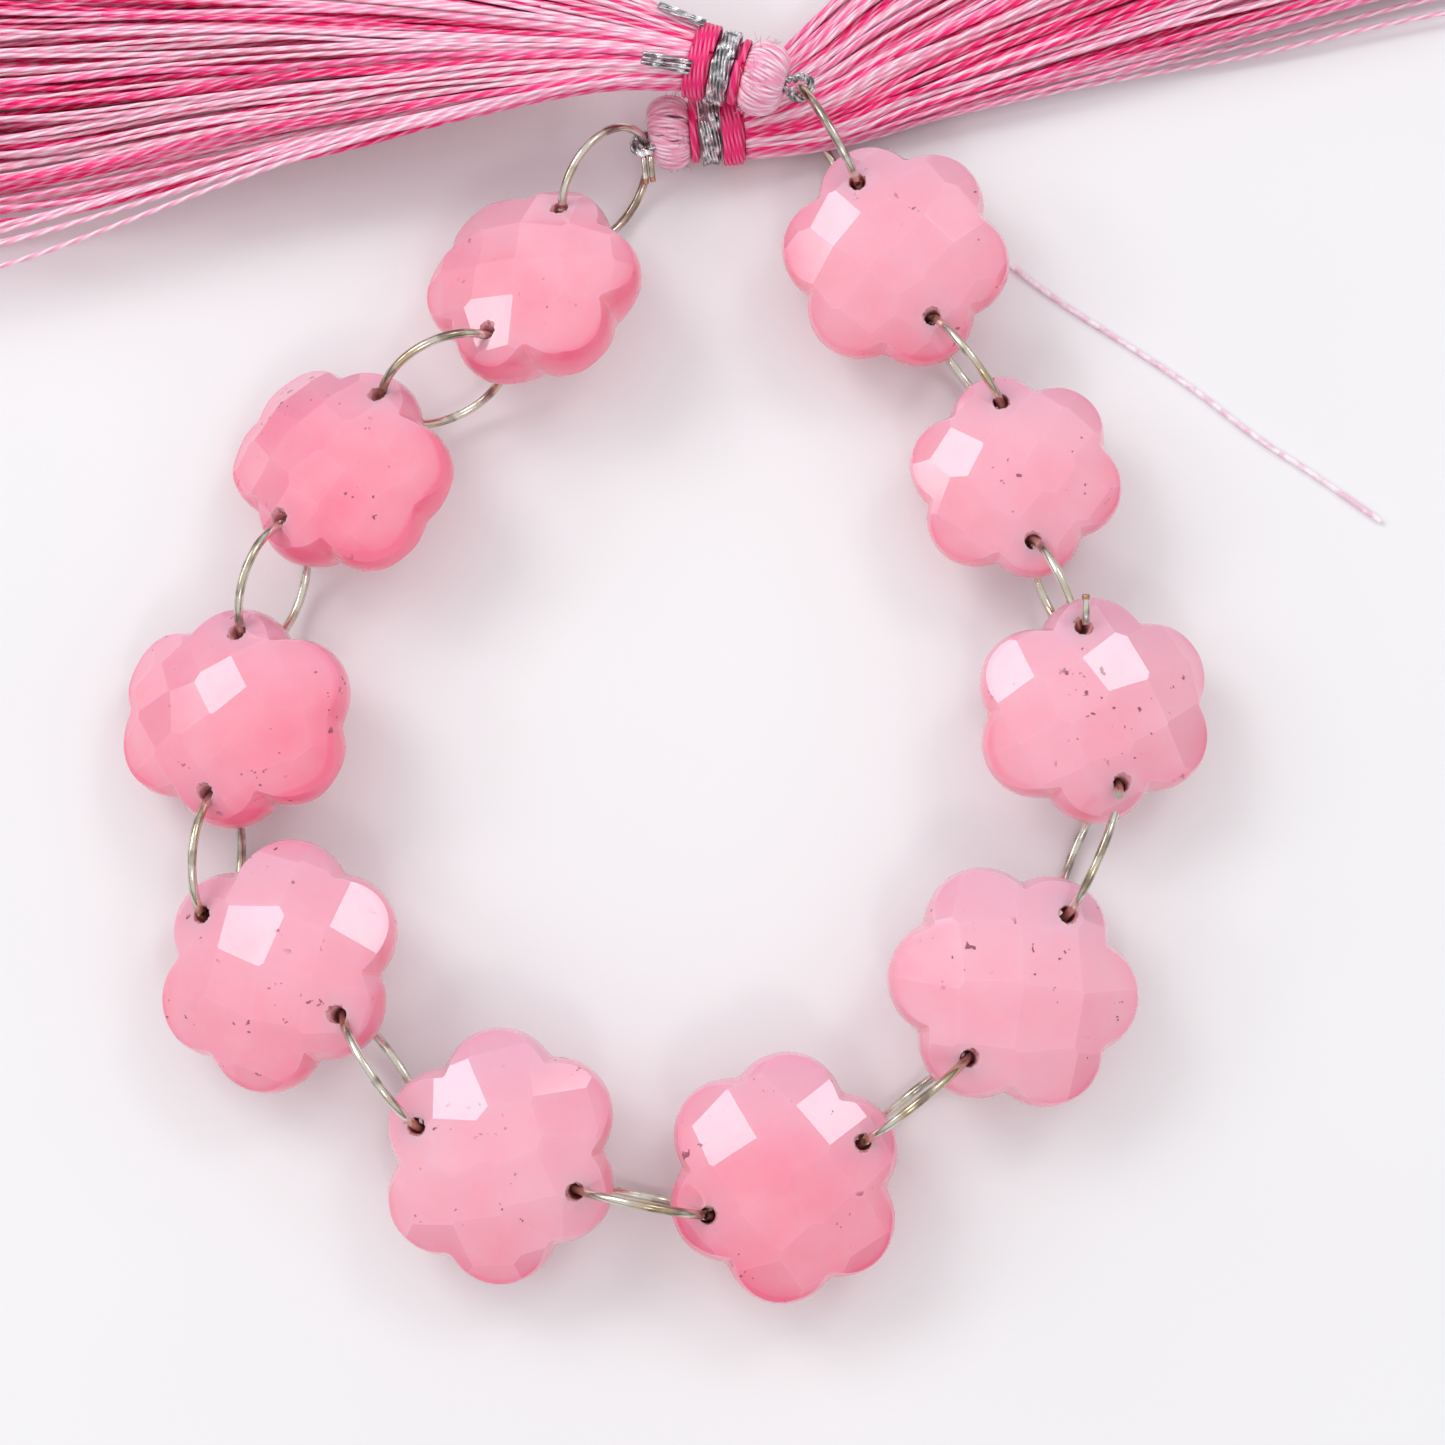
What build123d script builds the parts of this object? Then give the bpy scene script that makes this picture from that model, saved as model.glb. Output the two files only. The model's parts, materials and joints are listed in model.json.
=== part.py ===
"""An open strand of ten carved flower beads, linked by bent wire rings and ended by two silk tassels.

It lies on a table, +Z up. The tassels cross at the back, along X, and the beads lie in a loop in front.
The parts are drawn round the middle of the loop and moved together to the strand's origin at the end.
"""

import os
from math import cos, pi, radians, sin, tan

from build123d import *

# Beads. A bead's sizes grow with its width, and these are for a bead of the reference width.
REFERENCE_WIDTH = 15.5
BEAD_THICKNESS = 7.0
DOME_RADIUS = 12.0
HOLE_FROM_CENTRE = 5.1
PETALS = 6
PETAL_SHARE = 0.44
VALLEY_RADIUS = 0.6

# The holes are drilled from both faces, so they widen towards their mouths.
HOLE_RADIUS = 0.75
FLARE_INNER_RADIUS = 0.65
FLARE_OUTER_RADIUS = 1.35

# Wire rings. The wire runs a little outside the middle of a hole, because it bends inside the stone.
WIRE_DIAMETER = 0.55
WIRE_PAST_HOLE = 0.33
BUTTED_GAP = 5

# Tassels, measured along their axis from the middle of the head towards the skirt.
CORE_RADIUS = 1.45
CORE_BACK = 0.6
CORE_REACH = 4.85
HEAD_RADIUS = 2.4
HEAD_HALF_LENGTH = 1.25
HEAD_ROUNDING = 1.2
FIT_GAP = 0.04
NARROW_WRAP = (0.65, 2.1)
SILVER_WRAP = (1.3, 2.4)
WIDE_WRAP = (1.5, 2.45)
WRAP_ROUNDING = 0.3
EYE_RADIUS = 0.65
EYE_CORD_RADIUS = 0.3
SKIRT_TOP_RADIUS = 2.2
FROM_START = (Align.CENTER, Align.CENTER, Align.MIN)

# The loose thread, which has come out of the second tassel's skirt.
THREAD_DIAMETER = 0.35
THREAD_HEIGHT = 0.25
BEND_SHARE = 0.45


def heading_vector(heading):
    return Vector(cos(radians(heading)), sin(radians(heading)), 0)


def without(vector, direction):
    """The part of a vector that is square to a direction, at unit length."""
    return (vector - direction * vector.dot(direction)).normalized()


class Bead:
    """Where a bead lies: its centre, the heading from its first hole to its second, how far and which
    way its face leans, its width along and across the holes, and how far its petals are turned."""

    def __init__(self, centre, heading, lean, toward, along, across, turned):
        self.centre = Vector(*centre)
        self.normal = heading_vector(toward) * sin(radians(lean)) + Vector(0, 0, cos(radians(lean)))
        self.through_holes = without(heading_vector(heading), self.normal)
        self.along = along
        self.across = across
        self.turned = turned
        self.scale = (along + across) / 2 / REFERENCE_WIDTH

    def plane(self):
        return Plane(origin=self.centre, x_dir=self.through_holes, z_dir=self.normal)

    def hole(self, side):
        """The middle of the first hole, side -1, or of the second, side 1."""
        return self.centre + self.through_holes * (side * HOLE_FROM_CENTRE * self.scale)


# centre, heading, lean, toward, along, across, petals turned
BEADS = (
    Bead((11.0, 29.1, 4.7), 298, -4, 37, 14.8, 15.2, -5),
    Bead((18.4, 14.9, 4.6), 282, -1, 33, 13.2, 14.3, 5),
    Bead((23.0, 0.1, 4.9), 283, 7, 2, 14.3, 16.0, -10),
    Bead((17.8, -17.0, 5.0), 235, 6, 323, 15.1, 17.1, 0),
    Bead((3.8, -28.5, 4.9), 205, 2, 284, 14.6, 16.8, 0),
    Bead((-13.4, -27.2, 4.8), 158, 6, 237, 14.8, 16.7, -5),
    Bead((-27.0, -15.7, 4.8), 145, 11, 194, 14.8, 17.4, 0),
    Bead((-30.0, -0.4, 4.8), 80, 16, 170, 13.9, 16.8, 5),
    Bead((-23.7, 15.3, 4.8), 52, 20, 145, 13.4, 16.5, 5),
    Bead((-11.8, 27.0, 5.2), 66, 25, 133, 13.8, 15.3, 0),
)


class Ring:
    """A wire ring: its middle, the way from its first end to its second, the way its upper half
    stands, its radius to the middle of the wire, and where its cut ends part."""

    def __init__(self, middle, across, up, radius, gap_at, gap):
        self.middle = middle
        self.across = across
        self.up = without(up, across)
        self.radius = radius
        self.gap_at = gap_at
        self.gap = gap

    def plane(self):
        return Plane(origin=self.middle, x_dir=self.across, z_dir=self.across.cross(self.up))

    def point(self, angle):
        out = self.across * cos(radians(angle)) + self.up * sin(radians(angle))
        return self.middle + out * self.radius

    def tangent(self, angle):
        return self.up * cos(radians(angle)) - self.across * sin(radians(angle))


def linking_ring(first, second, gap_at, gap):
    """The ring through one bead's second hole and the next bead's first hole."""
    start = first.hole(1)
    end = second.hole(-1)
    way = end - start
    radius = way.length / 2 + WIRE_PAST_HOLE
    return Ring((start + end) / 2, way.normalized(), first.normal + second.normal, radius, gap_at, gap)


def end_ring(bead, side, heading, up, radius, gap_at):
    """The ring through an end bead's outer hole, which lies along a heading away from the bead."""
    way = without(heading_vector(heading), bead.normal)
    middle = bead.hole(side) + way * (radius - WIRE_PAST_HOLE)
    return Ring(middle, way, up, radius, gap_at, BUTTED_GAP)


# Where each ring's wire ends part, from the way to the next bead, and how far apart they stand.
RING_GAPS = (
    (148, BUTTED_GAP),
    (48, 22),
    (128, 22),
    (30, BUTTED_GAP),
    (150, BUTTED_GAP),
    (-32, BUTTED_GAP),
    (148, BUTTED_GAP),
    (30, BUTTED_GAP),
    (-30, BUTTED_GAP),
)
FIRST_RING = end_ring(BEADS[0], -1, 120, BEADS[0].normal, 3.95, 152)
LAST_RING = end_ring(BEADS[-1], 1, 54, BEADS[-1].normal, 3.9, 150)
LINKS = tuple(linking_ring(BEADS[i], BEADS[i + 1], *RING_GAPS[i]) for i in range(len(RING_GAPS)))
RINGS = (FIRST_RING,) + LINKS + (LAST_RING,)

# How far round its ring each tassel's eye hangs, from the ring's far end.
EYE_ANGLE_A = 24
EYE_ANGLE_B = -6


class Tassel:
    """Where a tassel lies: the middle of its head, its heading from head to skirt, the ring and the
    angle on it where its eye hangs, and its skirt's sections, from the wraps to the tips."""

    def __init__(self, head, heading, ring, angle, sections):
        self.head = Vector(*head)
        self.axis = heading_vector(heading)
        self.eye = ring.point(angle)
        self.eye_axis = ring.tangent(angle)
        self.sections = sections

    def plane(self, distance):
        return Plane(origin=self.head + self.axis * distance, x_dir=(0, 0, 1), z_dir=self.axis)


# A skirt's sections: centre, heading, half width, half height.
TASSEL_A = Tassel(
    (2.7, 39.8, 7.6),
    164,
    FIRST_RING,
    EYE_ANGLE_A,
    (
        ((-8.5, 43.1, 6.7), 167, 3.2, 1.9),
        ((-25, 45.0, 4.4), 175, 8.4, 2.5),
        ((-45, 45.6, 3.2), 179, 14.2, 2.4),
        ((-62, 45.9, 2.7), 180, 16.5, 1.9),
    ),
)
TASSEL_B = Tassel(
    (-3.4, 38.0, 2.6),
    5,
    LAST_RING,
    EYE_ANGLE_B,
    (
        ((4.6, 42.3, 1.4), 38, 1.8, 0.9),
        ((10.4, 46.1, 1.9), 31, 3.4, 1.5),
        ((27.3, 54.1, 3.0), 25, 7.6, 2.4),
        ((44.6, 60.9, 2.9), 23, 12.0, 2.3),
        ((56.8, 65.6, 2.5), 22, 14.2, 1.8),
    ),
)

THREAD_ROUTE = (
    (10.8, 37.6),
    (14.3, 33.6),
    (18.6, 29.9),
    (21.9, 27.3),
    (26.4, 24.4),
    (30.6, 21.5),
    (34.4, 18.3),
    (37.9, 16.1),
    (42.1, 13.0),
)


def flower_bead(bead):
    """A double dome with six round petals, and a drilled hole in each of two opposite petals."""
    petal_radius = PETAL_SHARE * (bead.along + bead.across) / 4
    petals = []
    for number in range(PETALS):
        angle = radians(bead.turned + number * 360 / PETALS)
        out_along = (bead.along / 2 - petal_radius) * cos(angle)
        out_across = (bead.across / 2 - petal_radius) * sin(angle)
        petals.append((out_along, out_across))
    dome_radius = DOME_RADIUS * bead.scale
    dome_centre = dome_radius - BEAD_THICKNESS / 2 * bead.scale
    hole_out = HOLE_FROM_CENTRE * bead.scale
    with BuildPart(bead.plane()) as stone:
        with BuildSketch(bead.plane()) as outline:
            Circle(petal_radius)
            with Locations(*petals):
                Circle(petal_radius)
            fillet(outline.vertices(), VALLEY_RADIUS)
        extrude(amount=BEAD_THICKNESS, both=True)
        for side in (-1, 1):
            with Locations((0, 0, side * dome_centre)):
                Sphere(dome_radius, mode=Mode.INTERSECT)
        with Locations((-hole_out, 0, 0), (hole_out, 0, 0)):
            Cylinder(HOLE_RADIUS, BEAD_THICKNESS, mode=Mode.SUBTRACT)
            for turn in (0, 180):
                Cone(
                    FLARE_INNER_RADIUS,
                    FLARE_OUTER_RADIUS,
                    BEAD_THICKNESS / 2,
                    rotation=(turn, 0, 0),
                    align=(Align.CENTER, Align.CENTER, Align.MIN),
                    mode=Mode.SUBTRACT,
                )
    return stone.part


def wire_ring(ring):
    """Round wire bent into a ring, open where its cut ends meet."""
    start = ring.gap_at + ring.gap / 2
    with BuildPart() as wire:
        with BuildLine(ring.plane()) as bend:
            CenterArc((0, 0), ring.radius, start, 360 - ring.gap)
        with BuildSketch(Plane(origin=bend.line @ 0, z_dir=bend.line % 0)):
            Circle(WIRE_DIAMETER / 2)
        sweep()
    return wire.part


def core(tassel):
    """The folded threads inside the head and under the wraps."""
    with BuildPart(tassel.plane(-CORE_BACK)) as threads:
        Cylinder(CORE_RADIUS, CORE_BACK + CORE_REACH, align=FROM_START)
    return threads.part


def head(tassel):
    """The bulb of threads folded over the eye's cord, with the core's end inside it."""
    with BuildPart(tassel.plane(-HEAD_HALF_LENGTH)) as bulb:
        Cylinder(HEAD_RADIUS, 2 * HEAD_HALF_LENGTH, align=FROM_START)
        fillet(bulb.edges().filter_by(GeomType.CIRCLE), HEAD_ROUNDING)
        with Locations((0, 0, HEAD_HALF_LENGTH - CORE_BACK - FIT_GAP)):
            Cylinder(CORE_RADIUS + FIT_GAP, 2 * HEAD_HALF_LENGTH, align=FROM_START, mode=Mode.SUBTRACT)
    return bulb.part


def wrap(tassel, start, length, radius):
    """Turns of thread wound side by side round the core."""
    with BuildPart(tassel.plane(start)) as turns:
        Cylinder(radius, length, align=FROM_START)
        fillet(turns.edges().filter_by(GeomType.CIRCLE), WRAP_ROUNDING)
        Cylinder(CORE_RADIUS + FIT_GAP, length, align=FROM_START, mode=Mode.SUBTRACT)
    return turns.part


def eye(tassel):
    """The loop of cord that the ring's wire goes through, with its stalk up to the head."""
    way = (tassel.head - tassel.axis * HEAD_HALF_LENGTH - tassel.eye).normalized()
    reach = (tassel.head - tassel.axis * HEAD_HALF_LENGTH - tassel.eye).length
    away = without(-way, tassel.eye_axis)
    with BuildPart(Plane(origin=tassel.eye, x_dir=away, z_dir=tassel.eye_axis)) as loop:
        Torus(EYE_RADIUS, EYE_CORD_RADIUS)
        with BuildSketch(Plane(origin=tassel.eye + way * EYE_RADIUS, z_dir=way)):
            Circle(EYE_CORD_RADIUS)
        extrude(amount=reach - EYE_RADIUS)
        with BuildSketch(tassel.plane(-HEAD_HALF_LENGTH - FIT_GAP)):
            Circle(HEAD_RADIUS)
        extrude(amount=HEAD_HALF_LENGTH, mode=Mode.SUBTRACT)
    return loop.part


def skirt(tassel):
    """The cut threads below the wraps, spread flat on the table towards their tips."""
    with BuildPart() as fringe:
        with BuildSketch(tassel.plane(CORE_REACH + FIT_GAP)):
            Circle(SKIRT_TOP_RADIUS)
        for centre, heading, half_width, half_height in tassel.sections:
            side = heading_vector(heading + 90)
            with BuildSketch(Plane(origin=centre, x_dir=side, z_dir=heading_vector(heading))):
                Ellipse(half_width, half_height)
        loft()
    return fringe.part


def bend_radii(route):
    """The radius at each inner point of a route, as large as the runs beside it allow."""
    radii = []
    for before, here, after in zip(route, route[1:], route[2:]):
        turn = radians((here - before).get_angle(after - here))
        shorter = min((here - before).length, (after - here).length)
        radii.append(BEND_SHARE * shorter / tan(turn / 2))
    return radii


def loose_thread():
    """One thread lying loose on the table."""
    route = [Vector(x, y, THREAD_HEIGHT) for x, y in THREAD_ROUTE]
    radii = bend_radii(route)
    with BuildPart() as thread:
        with BuildLine() as lie:
            FilletPolyline(*route, radius=radii)
        with BuildSketch(Plane(origin=lie.line @ 0, z_dir=lie.line % 0)):
            Circle(THREAD_DIAMETER / 2)
        sweep()
    length = sum(edge.length for edge in lie.line.edges())
    print("thread: bend radii", [round(radius, 1) for radius in radii], "length", round(length, 2))
    expected = length * pi * THREAD_DIAMETER**2 / 4
    print("thread: volume over section times length", round(thread.part.volume / expected, 4))
    return thread.part


def tassel_parts(name, tassel):
    """A tassel's pieces by name: its eye, core, head, three wraps and skirt."""
    wrap_starts = [HEAD_HALF_LENGTH + FIT_GAP]
    for length, _ in (NARROW_WRAP, SILVER_WRAP):
        wrap_starts.append(wrap_starts[-1] + length + FIT_GAP)
    pieces = {f"eye_{name}": eye(tassel), f"core_{name}": core(tassel), f"head_{name}": head(tassel)}
    wraps = zip(("narrow", "silver", "wide"), wrap_starts, (NARROW_WRAP, SILVER_WRAP, WIDE_WRAP))
    for kind, start, (length, radius) in wraps:
        pieces[f"{kind}_wrap_{name}"] = wrap(tassel, start, length, radius)
    pieces[f"skirt_{name}"] = skirt(tassel)
    return pieces


def strand_parts():
    """Every piece of the strand by name, where it lies round the middle of the loop."""
    pieces = {}
    for number, bead in enumerate(BEADS, 1):
        pieces[f"bead_{number:02d}"] = flower_bead(bead)
    for number, ring in enumerate(RINGS, 1):
        pieces[f"ring_{number:02d}"] = wire_ring(ring)
    pieces.update(tassel_parts("a", TASSEL_A))
    pieces.update(tassel_parts("b", TASSEL_B))
    return pieces


def strand_origin(pieces):
    """The middle of the strand's box on the table, without the loose thread."""
    boxes = [piece.bounding_box() for piece in pieces.values()]
    left = min(box.min.X for box in boxes)
    right = max(box.max.X for box in boxes)
    front = min(box.min.Y for box in boxes)
    back = max(box.max.Y for box in boxes)
    bottom = min(box.min.Z for box in boxes)
    return Vector((left + right) / 2, (front + back) / 2, bottom)


os.makedirs("parts", exist_ok=True)
PIECES = strand_parts()
ORIGIN = strand_origin(PIECES)
PIECES["loose_thread"] = loose_thread()
print("origin in the loop's own coordinates", [round(value, 3) for value in tuple(ORIGIN)])

for piece_name, piece in PIECES.items():
    placed = piece.moved(Location(-ORIGIN))
    placed.label = piece_name
    export_step(placed, f"parts/{piece_name}.step")
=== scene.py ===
"""The looks of an open strand of carved flower beads with two silk tassels, built on its CAD frame."""

import json
from math import cos, pi, radians, sin, sqrt, tau

import bmesh
import bpy
import numpy as np
from mathutils import Matrix, Vector

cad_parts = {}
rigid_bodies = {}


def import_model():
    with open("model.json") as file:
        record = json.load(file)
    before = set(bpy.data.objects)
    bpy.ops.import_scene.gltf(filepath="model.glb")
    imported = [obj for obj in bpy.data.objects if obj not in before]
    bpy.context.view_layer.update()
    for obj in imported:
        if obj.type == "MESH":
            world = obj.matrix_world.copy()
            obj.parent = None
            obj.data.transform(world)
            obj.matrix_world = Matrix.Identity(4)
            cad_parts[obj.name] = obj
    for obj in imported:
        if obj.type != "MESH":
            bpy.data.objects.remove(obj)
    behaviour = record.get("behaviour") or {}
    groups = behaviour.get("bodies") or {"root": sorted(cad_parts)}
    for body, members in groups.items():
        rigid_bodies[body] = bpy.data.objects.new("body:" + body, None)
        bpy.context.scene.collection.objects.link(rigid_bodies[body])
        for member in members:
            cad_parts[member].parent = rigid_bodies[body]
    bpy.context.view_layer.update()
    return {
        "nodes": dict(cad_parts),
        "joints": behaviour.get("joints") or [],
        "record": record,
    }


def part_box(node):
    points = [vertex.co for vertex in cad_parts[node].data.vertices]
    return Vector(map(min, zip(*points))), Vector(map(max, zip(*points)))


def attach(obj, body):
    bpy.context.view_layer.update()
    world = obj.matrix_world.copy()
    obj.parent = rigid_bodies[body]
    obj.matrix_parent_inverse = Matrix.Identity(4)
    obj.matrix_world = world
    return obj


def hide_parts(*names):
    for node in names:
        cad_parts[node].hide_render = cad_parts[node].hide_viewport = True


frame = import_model()
MM = 0.001

# Camera and light, in metres. The loop's middle is in front of the whole strand's. Each light has
# its place, its width and its power.
LOOP_MIDDLE = Vector((0, -0.021, 0))
CAMERA_FROM_LOOP = Vector((0, -0.030, 0.205))
LENS = 81.5
KEY_LIGHT = ((-0.26, 0.20, 0.34), 0.19, 0.50)
SIDE_LIGHT = ((0.22, 0.22, 0.36), 0.12, 0.22)
LOW_LIGHT = ((-0.40, 0.05, 0.26), 0.11, 0.16)
FRONT_LIGHT = ((0.05, -0.27, 0.33), 0.07, 0.12)
SKY = 0.80

# Beads, in millimetres.
PETALS = 6
PETAL_SHARE = 0.465
DOME_RADIUS = 12.0
REFERENCE_WIDTH = 15.5
OUTLINE_POINTS = 150
VALLEY_SOFTNESS = 0.16
WALL_RADIUS = 3.0
WALL_SLOPE = 0.35
BLANK_HALF_HEIGHT = 4.5
FACETS_EACH_WAY = 3
FACET_REACH = 8.2
FACET_SHIFT = 0.12
FACET_LEAN = 0.45
EDGE_SOFTNESS = 0.07
HOLE_RADIUS = 0.50
HOLE_SIDES = 26
MOUTH_RADIUS = 0.60

# Each bead: how far its petals are turned, how far its facets are turned and how wide they are,
# and how deep its pink is.
BEAD_LOOKS = (
    (-5, 18, 2.8, 0.42),
    (5, 40, 2.9, 0.30),
    (-10, 14, 3.0, 0.18),
    (0, 33, 3.6, 0.12),
    (0, 12, 3.1, 0.66),
    (-5, 35, 3.0, 0.22),
    (0, 20, 3.1, 0.36),
    (5, 38, 2.5, 0.72),
    (5, -8, 2.7, 0.84),
    (0, 24, 3.0, 0.48),
)

# Threads, in millimetres.
THREAD_RADIUS = 0.165
THREAD_SIDES = 6
PLY_PITCH = 3.2
PLIES_OUT_OF_STEP = 37
SKIRT_THREADS = 300
SKIRT_ROWS = 64
HOT_CORE = 0.74

# The wraps, the eyes, the silver tails and the cut wire ends, in metres.
COIL_SIDES = 8
COIL_STEPS = 40
SILK_COIL = 0.00014
SILVER_COIL = 0.00016
EYE_RADIUS = 0.00070
EYE_STRAND = 0.00017
EYE_TWIST = 0.0011
EYE_APART = 0.00014
TAIL_STRAND = 0.00014
TAIL_LENGTH = 0.0031
TAIL_TURNS = (328, 50)
WIRE_SIDES = 16
HOLE_END_RADIUS = 0.00024
RING_END_RADIUS = 0.00018

# The loose thread's route, the same points as its CAD solid's, moved to the strand's origin.
LOOP_ORIGIN = Vector((0.06, 21.054, 0.046))
THREAD_HEIGHT = 0.25
THREAD_DIAMETER = 0.35
THREAD_ROUTE = (
    (10.8, 37.6),
    (14.3, 33.6),
    (18.6, 29.9),
    (21.9, 27.3),
    (26.4, 24.4),
    (30.6, 21.5),
    (34.4, 18.3),
    (37.9, 16.1),
    (42.1, 13.0),
)

# How each skirt spreads, from the wraps to the tips: centre, heading, half width, half height.
SPREAD_A = (
    ((-1.7, 41.05, 7.6), 164, 1.9, 1.9),
    ((-8.5, 42.6, 7.9), 168, 4.0, 1.2),
    ((-25, 45.0, 5.9), 175, 9.6, 1.6),
    ((-45, 46.4, 3.5), 179, 15.0, 1.9),
    ((-62, 46.9, 2.5), 180, 16.4, 1.7),
)
SPREAD_B = (
    ((1.4, 38.4, 2.6), 5, 1.9, 2.1),
    ((6.4, 40.9, 1.9), 30, 3.9, 1.5),
    ((12.5, 44.6, 2.1), 30, 5.6, 1.6),
    ((28.5, 52.5, 2.7), 26, 9.4, 2.2),
    ((45, 60.6, 2.4), 23, 12.8, 1.9),
    ((56.5, 65.3, 2.0), 22, 14.6, 1.6),
)

# Loose threads at each skirt's edge: across and above by the tip, in half widths and half heights,
# and how far down the skirt each ends.
STRAYS_A = ((1.12, 0.4, 0.97), (1.2, 0.5, 0.9), (1.3, 0.4, 0.95), (1.05, 0.5, 0.99), (1.16, 0.3, 0.93))
STRAYS_B = ((-1.10, -0.75, 0.97), (-1.2, -0.75, 0.85), (-1.02, -0.75, 0.99))


# Small helpers.
def from_loop(x, y, z):
    """A point given round the middle of the loop, in millimetres, as a point in the row frame."""
    return (Vector((x, y, z)) - LOOP_ORIGIN) * MM


def without(vector, direction):
    return (vector - direction * vector.dot(direction)).normalized()


def joint_place(*pair):
    """Where the joint between two bodies is."""
    joint = next(j for j in frame["joints"] if {j["parent"], j["child"]} == set(pair))
    return Vector(joint["pos_m"])


def node_points(node):
    mesh = frame["nodes"][node].data
    points = np.empty(len(mesh.vertices) * 3)
    mesh.vertices.foreach_get("co", points)
    return points.reshape(-1, 3)


def box_middle(node):
    low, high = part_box(node)
    return (Vector(low) + Vector(high)) / 2


def scene_object(name, data):
    item = bpy.data.objects.new(name, data)
    bpy.context.scene.collection.objects.link(item)
    return item


def new_object(name, mesh, body, slot, *nodes):
    piece = scene_object(name, mesh)
    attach(piece, body)
    if nodes:
        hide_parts(*nodes)
    return piece


def join_rings(shape, rings):
    """Faces between rings of points, and a cap over each end; the last ring's cap comes first."""
    for lower, upper in zip(rings, rings[1:]):
        for i in range(len(lower)):
            j = (i + 1) % len(lower)
            shape.faces.new((lower[i], lower[j], upper[j], upper[i]))
    shape.faces.new(rings[-1])
    shape.faces.new(rings[0][::-1])


def mesh_from(shape, name, *materials):
    mesh = bpy.data.meshes.new(name)
    shape.to_mesh(mesh)
    shape.free()
    for material in materials:
        mesh.materials.append(material)
    return mesh


def directions(path):
    ahead = np.gradient(path, axis=0)
    return ahead / np.linalg.norm(ahead, axis=1, keepdims=True)


def distances(path):
    """How far along the path each of its points is."""
    steps = np.linalg.norm(np.diff(path, axis=0), axis=1)
    return np.concatenate([[0], np.cumsum(steps)])


def sideways(rows):
    """The way across the skirt at each row."""
    headings = np.radians(rows[:, 3])
    return np.stack([-np.sin(headings), np.cos(headings)], axis=-1)


# Material helpers.
class Nodes:
    """A material's node tree, with short calls for the nodes used here."""

    def __init__(self, name):
        self.material = bpy.data.materials.new(name)
        self.material.use_nodes = True
        self.tree = self.material.node_tree
        self.shader = self.tree.nodes["Principled BSDF"]

    def add(self, kind, **inputs):
        node = self.tree.nodes.new(kind)
        for key, value in inputs.items():
            socket = node.inputs[int(key[1:]) if key[1:].isdigit() else key.replace("_", " ")]
            if isinstance(value, bpy.types.NodeSocket):
                self.tree.links.new(value, socket)
            else:
                socket.default_value = value
        return node

    def link(self, source, socket_name):
        self.tree.links.new(source, self.shader.inputs[socket_name])

    def set(self, **values):
        for key, value in values.items():
            self.shader.inputs[key.replace("_", " ")].default_value = value

    def position(self):
        return self.add("ShaderNodeTexCoord").outputs["Object"]

    def attribute(self, name):
        node = self.add("ShaderNodeAttribute")
        node.attribute_name = name
        return node.outputs["Fac"]

    def vector_attribute(self, name):
        """An attribute's three parts."""
        node = self.add("ShaderNodeAttribute")
        node.attribute_name = name
        return self.add("ShaderNodeSeparateXYZ", Vector=node.outputs["Vector"])

    def noise(self, vector, scale, detail=3, roughness=0.5):
        node = self.add(
            "ShaderNodeTexNoise", Vector=vector, Scale=scale, Detail=detail, Roughness=roughness
        )
        return node.outputs["Fac"]

    def ply(self):
        """The height of the plies that run round a thread along its length, from 0 to 1."""
        uv = self.add("ShaderNodeTexCoord").outputs["UV"]
        parts = self.add("ShaderNodeSeparateXYZ", Vector=uv)
        turn = self.maths("ADD", parts.outputs[0], parts.outputs[1])
        wave = self.maths("SINE", self.maths("MULTIPLY", turn, 2 * tau))
        return self.maths("MULTIPLY_ADD", wave, 0.5, 0.5)

    def ramp(self, value, *stops):
        """A colour ramp; each stop is a place and a grey or a colour."""
        node = self.add("ShaderNodeValToRGB", Fac=value)
        elements = node.color_ramp.elements
        while len(elements) < len(stops):
            elements.new(0.5)
        for element, (place, colour) in zip(elements, stops):
            element.position = place
            element.color = (colour,) * 3 + (1,) if isinstance(colour, (int, float)) else (*colour, 1)
        return node.outputs["Color"]

    def maths(self, operation, first, second=0.0, third=0.0):
        node = self.add("ShaderNodeMath", _0=first, _1=second, _2=third)
        node.operation = operation
        return node.outputs[0]

    def mix(self, amount, first, second, blend="MIX"):
        node = self.tree.nodes.new("ShaderNodeMix")
        node.data_type = "RGBA"
        node.blend_type = blend
        sockets = (node.inputs[0], node.inputs[6], node.inputs[7])
        for socket, value in zip(sockets, (amount, first, second)):
            if isinstance(value, bpy.types.NodeSocket):
                self.tree.links.new(value, socket)
            elif isinstance(value, tuple):
                socket.default_value = (*value, 1)
            else:
                socket.default_value = value
        return node.outputs[2]

    def bump(self, height, strength, distance):
        node = self.add("ShaderNodeBump", Height=height, Strength=strength, Distance=distance)
        self.link(node.outputs["Normal"], "Normal")


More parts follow.
